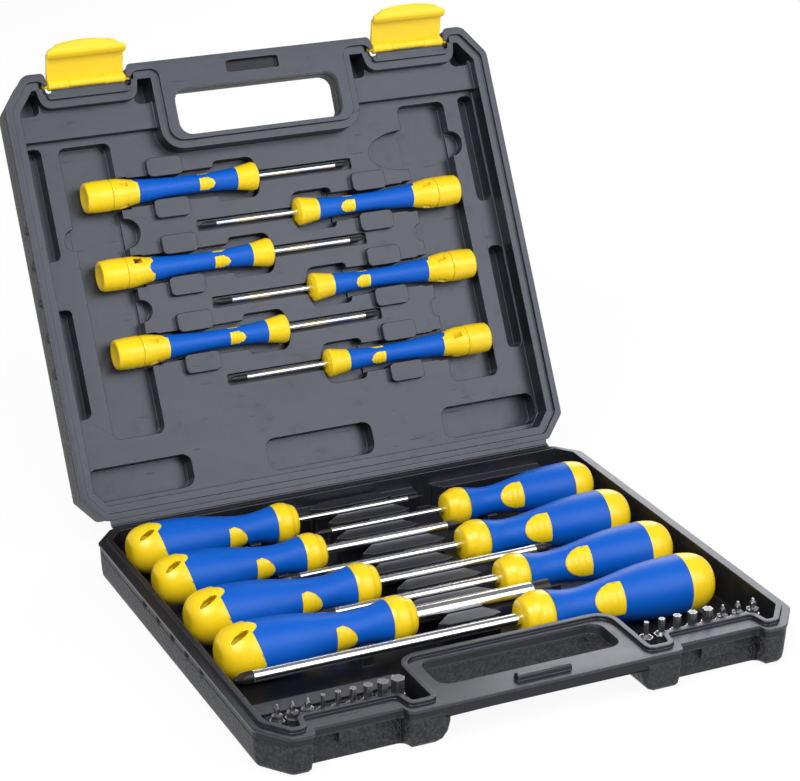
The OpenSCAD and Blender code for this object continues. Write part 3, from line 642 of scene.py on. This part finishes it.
def trim(obj, *planes):
    """Cuts off what lies beyond each plane, given as [point, direction], and closes the cut."""
    only(obj)
    bpy.ops.object.mode_set(mode="EDIT")
    for spot, way in planes:
        bpy.ops.mesh.select_all(action="SELECT")
        bpy.ops.mesh.bisect(
            plane_co=[v * MM for v in spot], plane_no=way, use_fill=True, clear_outer=True
        )
    bpy.ops.object.mode_set(mode="OBJECT")


def combine(obj, helper, operation):
    """Keeps one object's part inside or outside a helper, and removes the helper."""
    apply_modifier(obj, "BOOLEAN", object=helper, operation=operation, solver="EXACT")
    bpy.data.objects.remove(helper)
    return obj


def copy_of(obj):
    only(obj)
    bpy.ops.object.duplicate()
    return bpy.context.object


def ribbed_body():
    """The outline's surface, just proud of the sleeve, with fine ribs across the windows."""
    rings = []
    for d, r in curve_through(HANDLE, 0.5):
        if RIBBED[0] < d < RIBBED[1]:
            r += RIB_HEIGHT * math.cos((d - 50) * 2 * math.pi / RIB_PITCH)
        rings.append((d, r + WINDOW_RISE))
    return lathe(rings)


def window(straight, bowed, half, roll):
    """One window of the core: a plug out of the axis, ending at the ribbed surface."""
    body = ribbed_body()
    # 7 % wider than the window, so that the bowed end meets the trimmed sides at a corner
    plug = oval_block(56, (abs(bowed - straight), half * 1.07, 14), (straight, 0, 11))
    trim(
        plug,
        ((straight, 0, 0), (math.copysign(1, straight - bowed), 0, 0)),
        ((0, half, 0), (0, 1, 0)),
        ((0, -half, 0), (0, -1, 0)),
    )
    face_outwards(plug)
    return combine(rolled(plug, roll), body, "INTERSECT")


def handle_masters(side):
    """Core and sleeve of a master handle, as the row on this side shows them."""
    rings = curve_through(HANDLE, 1.1)
    core = lathe([
        (d, r - CORE_DROP if d < SLEEVE_END else r) for d, r in rings if d > CORE_DROP
    ])
    parts = [window(*w) for w in WINDOWS[side]]
    if side == LEFT:
        ear = window(*EAR)
        parts.append(ear)
    cap = lathe([(d, r) for d, r in rings if d <= CAP_REACH])
    edge, slant = CAP_CUT[side]
    trim(cap, ((edge, 0, 0), (1, 0, slant)))
    parts.append(cap)
    if side == LEFT:
        for part in (cap, core, ear):
            hole = rolled(oval_block(40, HOLE_SIZE, HOLE_SPOT, HOLE_LEAN), HOLE_ROLL)
            combine(part, hole, "DIFFERENCE")
    for part in parts:
        apply_modifier(
            part, "BEVEL", width=PART_EDGE * MM, segments=3, limit_method="ANGLE",
            angle_limit=math.radians(SHARP), use_clamp_overlap=False,
        )
    only(core, *parts)
    bpy.ops.object.join()
    smooth(core, SHARP)

    covered = [(d, r) for d, r in rings if SLEEVE_START < d < SLEEVE_END]
    skin = [(d, r - SKIN_DROP) for d, r in covered]
    underside = [(d, r - UNDERSIDE_DROP) for d, r in covered]
    sleeve = lathe(underside[:1] + skin + underside[::-1], ring_shaped=True)
    smooth(sleeve, SHARP)
    return core, sleeve


class CASE_OT_handles(bpy.types.Operator):
    """Two-colour handles: a hard core with a soft sleeve moulded round its windows"""

    bl_idname = "case.handles"
    bl_label = "Screwdriver handles"

    def execute(self, context):
        looks = (
            ("core", "handle", "yellow_plastic", hard_yellow()),
            ("grip", "sleeve", "blue_grip", soft_grip()),
        )
        masters = {side: handle_masters(side) for side in (LEFT, RIGHT)}
        for i in DRIVERS:
            driver = f"driver_{i}"
            lo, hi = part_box(driver + "_core")
            side = RIGHT if lo.x > 0 else LEFT
            butt = hi.x if side == RIGHT else lo.x
            grow = (hi.x - lo.x) / (HANDLE_LENGTH * MM)
            for master, (node, name, slot, material) in zip(masters[side], looks):
                piece = copy_of(master)
                piece.scale = (grow * -side, grow, grow)
                piece.location = (butt, (lo.y + hi.y) / 2, (lo.z + hi.z) / 2)
                settle(piece, f"{driver}_{name}", driver, slot, material, f"{driver}_{node}")
                face_outwards(piece)
        for pair in masters.values():
            for master in pair:
                bpy.data.objects.remove(master)
        return {"FINISHED"}


class CASE_OT_tools(bpy.types.Operator):
    """Finishes of the shafts, the precision screwdrivers and the bits"""

    bl_idname = "case.tools"
    bl_label = "Screwdrivers and bits"

    def execute(self, context):
        yellow, blue, bits = hard_yellow(), soft_grip(), dark_bit_steel()
        looks = {"core": yellow, "cap": yellow, "grip": blue, "bits": bits}
        for node, obj in nodes.items():
            tool, _, kind = node.rpartition("_")
            if kind in ("shaft", "blade"):
                lo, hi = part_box(node)
                side = RIGHT if hi.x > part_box(tool + "_core")[1].x else LEFT
                tip = hi.x if side == RIGHT else lo.x
                refinish(obj, plated_shaft(node + "_plating", tip, side))
            elif kind in looks and not tool.startswith("driver_"):
                refinish(obj, looks[kind])
        return {"FINISHED"}


# ---- floor, lights and camera ------------------------------------------------------------------
# how much of the floor that is seen directly or in gloss is plain white, and the light all round
WHITE_SHARE, WORLD_STRENGTH = 0.92, 0.22

# where the camera stands, its angles in radians, and its focal length in picture widths
CAMERA_SPOT = (-0.50462262614, -1.02462628679, 0.58578958299)
CAMERA_AZIMUTH = -0.441072275542104
CAMERA_ELEVATION = 0.38618900493039204
CAMERA_ROLL = 0.0034766744076635383
FOCAL_WIDTHS = 2523.709175585896 / 800
SENSOR_WIDTH = 36


def lay_floor(stage):
    """A plane that looks almost white to the camera and in gloss, and takes shadows."""
    none()
    bpy.ops.mesh.primitive_plane_add(size=stage.size, location=(0, 1, -0.0002))
    floor = bpy.context.object
    floor.name = "floor"
    f = Finish("pale_floor", stage.floor, 0.9)
    ray = f.node("ShaderNodeLightPath")
    seen = ray["Is Camera Ray"].max(ray["Is Glossy Ray"]).max(ray["Is Transmission Ray"])
    glow = f.node("ShaderNodeEmission", None, Color=(1, 1, 1), Strength=1.0)["Emission"]
    lit = Socket(f, f.shader.outputs["BSDF"])
    mixed = f.node("ShaderNodeMixShader", None, seen * WHITE_SHARE, lit, glow)["Shader"]
    f.link(f.tree.nodes["Material Output"].inputs["Surface"], mixed)
    floor.data.materials.append(f.material)


def light_world():
    """Even white light from all round."""
    world = bpy.data.worlds.new("studio")
    world.use_nodes = True
    background = world.node_tree.nodes["Background"]
    background.inputs["Color"].default_value = (1, 1, 1, 1)
    background.inputs["Strength"].default_value = WORLD_STRENGTH
    bpy.context.scene.world = world


def hang_light(name, power, size, spot, aim):
    """A square light, `size` metres wide, pointing from spot to aim."""
    light = bpy.data.lights.new(name, "AREA")
    light.energy, light.size = power, size
    obj = bpy.data.objects.new(name, light)
    bpy.context.scene.collection.objects.link(obj)
    obj.location = spot
    obj.rotation_euler = (Vector(aim) - Vector(spot)).to_track_quat("-Z", "Y").to_euler()


def stand_camera():
    """The scene's camera, rolled a little about its view."""
    camera = bpy.data.objects.new("camera", bpy.data.cameras.new("camera"))
    bpy.context.scene.collection.objects.link(camera)
    level = math.cos(CAMERA_ELEVATION)
    back = Vector((
        math.sin(CAMERA_AZIMUTH) * level, -math.cos(CAMERA_AZIMUTH) * level,
        math.sin(CAMERA_ELEVATION),
    ))
    right = (-back).cross(Vector((0, 0, 1))).normalized()
    up = right.cross(-back)
    c, t = math.cos(CAMERA_ROLL), math.sin(CAMERA_ROLL)
    stand = Matrix((c * right + t * up, c * up - t * right, back)).transposed().to_4x4()
    stand.translation = CAMERA_SPOT
    camera.matrix_world = stand
    camera.data.sensor_width, camera.data.sensor_fit = SENSOR_WIDTH, "HORIZONTAL"
    camera.data.lens = FOCAL_WIDTHS * SENSOR_WIDTH
    camera.data.clip_start = 0.01
    bpy.context.scene.camera = camera


class CASE_OT_stage(bpy.types.Operator):
    """Pale floor, soft lights and the camera"""

    bl_idname = "case.stage"
    bl_label = "Floor, lights and camera"

    def execute(self, context):
        s = context.scene.stage_finish
        lay_floor(s)
        light_world()
        hang_light("key_light", s.key, 1.0, (-0.7, -0.7, 1.3), (0, 0.05, 0.05))
        hang_light("front_light", s.front, 1.1, (0.65, -1.0, 0.9), (0, 0.15, 0.12))
        hang_light("back_light", s.back, 0.8, (0.7, 1.05, 0.6), (0.05, -0.05, 0.03))
        stand_camera()
        context.scene.view_settings.view_transform = "Standard"
        return {"FINISHED"}


# ---- panel and start ---------------------------------------------------------------------------
class CASE_PT_panel(bpy.types.Panel):
    """The sizes and colours of every group, and a button for each operator"""

    bl_label = "Tool Case"
    bl_idname = "CASE_PT_panel"
    bl_space_type = "VIEW_3D"
    bl_region_type = "UI"
    bl_category = "Tool Case"

    def draw(self, context):
        scene = context.scene
        for group in (scene.case_finish, scene.tool_finish, scene.stage_finish):
            for name in group.__annotations__:
                self.layout.prop(group, name)
        for operator in OPERATORS:
            self.layout.operator(operator.bl_idname)


OPERATORS = (
    CASE_OT_shells, CASE_OT_trays, CASE_OT_latches, CASE_OT_handles, CASE_OT_tools, CASE_OT_stage
)
CLASSES = (CaseFinish, ToolFinish, StageFinish, *OPERATORS, CASE_PT_panel)


def register():
    for c in CLASSES:
        bpy.utils.register_class(c)
    bpy.types.Scene.case_finish = PointerProperty(type=CaseFinish)
    bpy.types.Scene.tool_finish = PointerProperty(type=ToolFinish)
    bpy.types.Scene.stage_finish = PointerProperty(type=StageFinish)


def unregister():
    for name in ("case_finish", "tool_finish", "stage_finish"):
        delattr(bpy.types.Scene, name)
    for c in reversed(CLASSES):
        bpy.utils.unregister_class(c)


def main():
    register()
    bpy.ops.case.shells()
    bpy.ops.case.trays()
    bpy.ops.case.latches()
    bpy.ops.case.handles()
    bpy.ops.case.tools()
    bpy.ops.case.stage()


if __name__ == "__main__":
    main()
